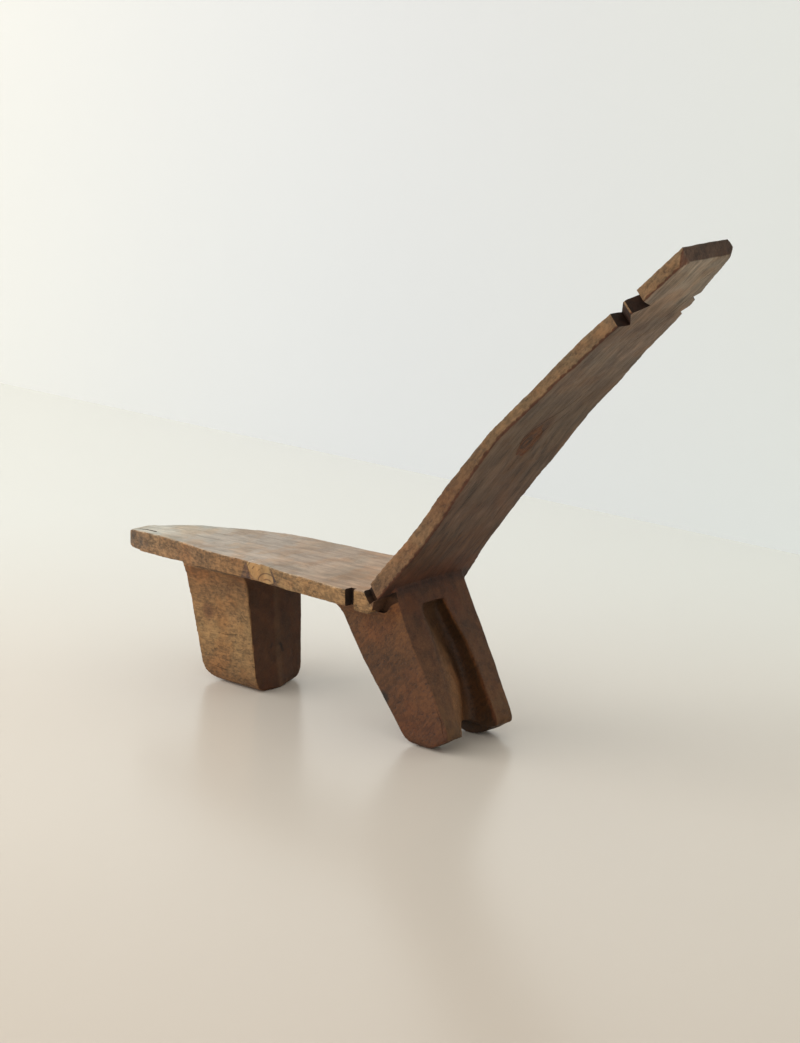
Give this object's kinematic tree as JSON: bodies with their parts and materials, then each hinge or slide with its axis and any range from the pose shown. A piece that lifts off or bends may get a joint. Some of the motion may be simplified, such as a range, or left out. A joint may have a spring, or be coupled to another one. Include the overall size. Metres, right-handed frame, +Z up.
{
  "type": "birthing chair",
  "caption": "Low carved wooden chair: a long tapering seat plank, a raked bent backrest with notched edges, a block front leg and a forked rear leg.",
  "frame": {"origin": "on the floor under the middle of the footprint's bounding box", "axes": "+Y from the nose of the seat to the crest of the backrest, +Z up, X across the width"},
  "size_m": [0.174, 0.9726, 0.66],
  "materials": {
    "seat_wood": "worn, dry, grey-brown",
    "backrest_wood": "worn, dry, dark grey-brown",
    "front_leg_wood": "worn, adze-cut, tan brown",
    "rear_leg_wood": "worn, adze-cut, mid brown",
    "wedge_wood": "split, dry",
    "dowel_wood": "whittled, dry",
    "seat_knot_wood": "worn, pale end grain",
    "backrest_knot_wood": "worn, rust-brown end grain"
  },
  "bodies": {
    "root": {"seat_plank": "seat_wood", "backrest": "backrest_wood", "front_leg": "front_leg_wood", "rear_leg": "rear_leg_wood", "front_leg_wedges": "wedge_wood", "rear_leg_wedges": "wedge_wood", "mitre_dowels": "dowel_wood", "heel_pegs": "dowel_wood", "seat_edge_knot": "seat_knot_wood", "backrest_knot": "backrest_knot_wood"}
  },
  "joints": []
}
